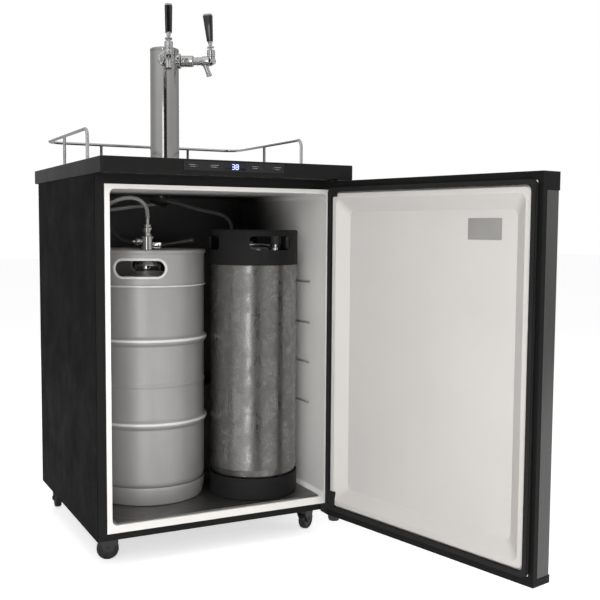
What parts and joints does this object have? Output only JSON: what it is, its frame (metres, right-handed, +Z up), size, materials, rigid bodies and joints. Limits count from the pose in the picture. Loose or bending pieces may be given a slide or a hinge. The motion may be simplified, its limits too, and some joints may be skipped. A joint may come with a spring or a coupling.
{
  "type": "draft beer refrigerator",
  "caption": "Freestanding draft beer refrigerator with its door open, a tap tower, a guard rail and a drip tray on its counter, swivel casters, and kegs inside.",
  "frame": {"origin": "on the floor, midway between the cabinet's sides, under the front face of the counter", "axes": "+X to the right seen from the front, +Y from the front towards the back, +Z up"},
  "size_m": [0.7228, 1.2348, 1.31],
  "materials": {
    "black_counter": "fine satin black moulding",
    "black_panel": "gloss black fascia",
    "black_paint": "fine textured black powder coat",
    "black_plastic": "satin black moulding",
    "black_gloss": "polished black plastic",
    "white_liner": "smooth white vacuum-formed plastic",
    "black_gasket": "soft black vinyl",
    "zinc_sheet": "zinc-plated steel",
    "foam": "rigid polyurethane foam",
    "stainless": "brushed stainless steel",
    "keg_steel": "satin rolled stainless steel",
    "chrome": "polished chrome plate",
    "black_rubber": "matt black rubber",
    "wheel_plastic": "smooth black nylon",
    "hose_clear": "clear flexible vinyl tube",
    "hose_dark": "dark flexible vinyl tube"
  },
  "bodies": {
    "cabinet": {"counter_top": "black_counter", "control_panel": "black_panel", "guard_rail": "chrome", "drip_tray": "stainless", "drip_grille": "stainless", "tower_column": "stainless", "tower_cap": "stainless", "tower_flange": "stainless", "faucet_shanks": "chrome", "bonnet_nuts": "chrome", "side_panel_left": "black_paint", "side_panel_right": "black_paint", "back_panel": "black_paint", "base_pan": "black_paint", "front_frame": "black_paint", "liner": "white_liner", "foam_insulation": "foam", "floor_plate": "stainless", "compressor": "black_paint", "rear_cover": "black_paint", "caster_plates": "black_paint", "hinge_bracket_top": "black_paint", "hinge_bracket_bottom": "black_paint", "keg_shell": "keg_steel", "keg_chimes": "keg_steel", "coupler_body": "chrome", "corny_tank": "keg_steel", "corny_top_boot": "black_rubber", "corny_bottom_boot": "black_rubber", "corny_fittings": "keg_steel", "gas_bulkhead": "zinc_sheet", "beer_line": "hose_clear", "gas_line": "hose_dark", "tower_hose": "hose_dark", "faucet_left": "chrome", "faucet_right": "chrome"},
    "door": {"door_skin": "stainless", "door_frame": "black_plastic", "door_liner": "white_liner", "door_foam": "foam", "door_gasket": "black_gasket"},
    "lever_left_body": {"lever_left": "chrome", "tap_handle_left": "black_gloss"},
    "lever_right_body": {"lever_right": "chrome", "tap_handle_right": "black_gloss"},
    "coupler_lever": {"coupler_handle": "black_plastic"},
    "button_a_body": {"button_a": "black_plastic"},
    "button_b_body": {"button_b": "black_plastic"},
    "button_c_body": {"button_c": "black_plastic"},
    "button_d_body": {"button_d": "black_plastic"},
    "fork_fl": {"caster_fork_fl": "black_paint"},
    "wheel_fl": {"caster_wheel_fl": "wheel_plastic"},
    "fork_fr": {"caster_fork_fr": "black_paint"},
    "wheel_fr": {"caster_wheel_fr": "wheel_plastic"},
    "fork_rl": {"caster_fork_rl": "black_paint"},
    "wheel_rl": {"caster_wheel_rl": "wheel_plastic"},
    "fork_rr": {"caster_fork_rr": "black_paint"},
    "wheel_rr": {"caster_wheel_rr": "wheel_plastic"},
    "brake_fl": {"caster_brake_fl": "black_plastic"},
    "brake_fr": {"caster_brake_fr": "black_plastic"}
  },
  "joints": [
    {"name": "door_hinge", "type": "hinge", "parent": "cabinet", "child": "door", "pos_m": [0.2866, 0.0076, 0.46], "axis": [0, 0, 1], "range_deg": [-102.6, 17.4]},
    {"name": "lever_left_pivot", "type": "hinge", "parent": "cabinet", "child": "lever_left_body", "pos_m": [-0.02968, 0.35195, 1.211], "axis": [0.9703, -0.2419, 0], "range_deg": [0, 30]},
    {"name": "lever_right_pivot", "type": "hinge", "parent": "cabinet", "child": "lever_right_body", "pos_m": [0.10605, 0.40928, 1.211], "axis": [0.503, 0.8643, 0], "range_deg": [0, 30]},
    {"name": "button_a_press", "type": "slide", "parent": "cabinet", "child": "button_a_body", "axis": [0, 1, 0], "range_m": [0, 0.001], "stiffness_N_per_m": 500, "springref_m": -0.001},
    {"name": "button_b_press", "type": "slide", "parent": "cabinet", "child": "button_b_body", "axis": [0, 1, 0], "range_m": [0, 0.001], "stiffness_N_per_m": 500, "springref_m": -0.001},
    {"name": "button_c_press", "type": "slide", "parent": "cabinet", "child": "button_c_body", "axis": [0, 1, 0], "range_m": [0, 0.001], "stiffness_N_per_m": 500, "springref_m": -0.001},
    {"name": "button_d_press", "type": "slide", "parent": "cabinet", "child": "button_d_body", "axis": [0, 1, 0], "range_m": [0, 0.001], "stiffness_N_per_m": 500, "springref_m": -0.001},
    {"name": "swivel_fl", "type": "hinge", "parent": "cabinet", "child": "fork_fl", "pos_m": [-0.266, 0.15, 0.0619], "axis": [0, 0, 1], "continuous": true},
    {"name": "roll_fl", "type": "hinge", "parent": "fork_fl", "child": "wheel_fl", "pos_m": [-0.25248, 0.14638, 0.025], "axis": [0.2588, 0.9659, 0], "continuous": true},
    {"name": "brake_fl_pedal", "type": "hinge", "parent": "fork_fl", "child": "brake_fl", "pos_m": [-0.23316, 0.1412, 0.046], "axis": [0.2588, 0.9659, 0], "range_deg": [0, 20]},
    {"name": "swivel_fr", "type": "hinge", "parent": "cabinet", "child": "fork_fr", "pos_m": [0.266, 0.15, 0.0619], "axis": [0, 0, 1], "continuous": true},
    {"name": "roll_fr", "type": "hinge", "parent": "fork_fr", "child": "wheel_fr", "pos_m": [0.25459, 0.14189, 0.025], "axis": [0.5793, -0.8151, 0], "continuous": true},
    {"name": "brake_fr_pedal", "type": "hinge", "parent": "fork_fr", "child": "brake_fr", "pos_m": [0.23829, 0.1303, 0.046], "axis": [0.5793, -0.8151, 0], "range_deg": [0, 20]},
    {"name": "swivel_rl", "type": "hinge", "parent": "cabinet", "child": "fork_rl", "pos_m": [-0.266, 0.585, 0.0619], "axis": [0, 0, 1], "continuous": true},
    {"name": "roll_rl", "type": "hinge", "parent": "fork_rl", "child": "wheel_rl", "pos_m": [-0.26405, 0.59886, 0.025], "axis": [-0.9903, 0.1392, 0], "continuous": true},
    {"name": "swivel_rr", "type": "hinge", "parent": "cabinet", "child": "fork_rr", "pos_m": [0.266, 0.585, 0.0619], "axis": [0, 0, 1], "continuous": true},
    {"name": "roll_rr", "type": "hinge", "parent": "fork_rr", "child": "wheel_rr", "pos_m": [0.26429, 0.5989, 0.025], "axis": [-0.9925, -0.1219, 0], "continuous": true},
    {"name": "coupler_lever_pivot", "type": "hinge", "parent": "cabinet", "child": "coupler_lever", "pos_m": [-0.08432, 0.2654, 0.712], "axis": [-0.5, -0.866, 0], "range_deg": [0, 45]}
  ]
}
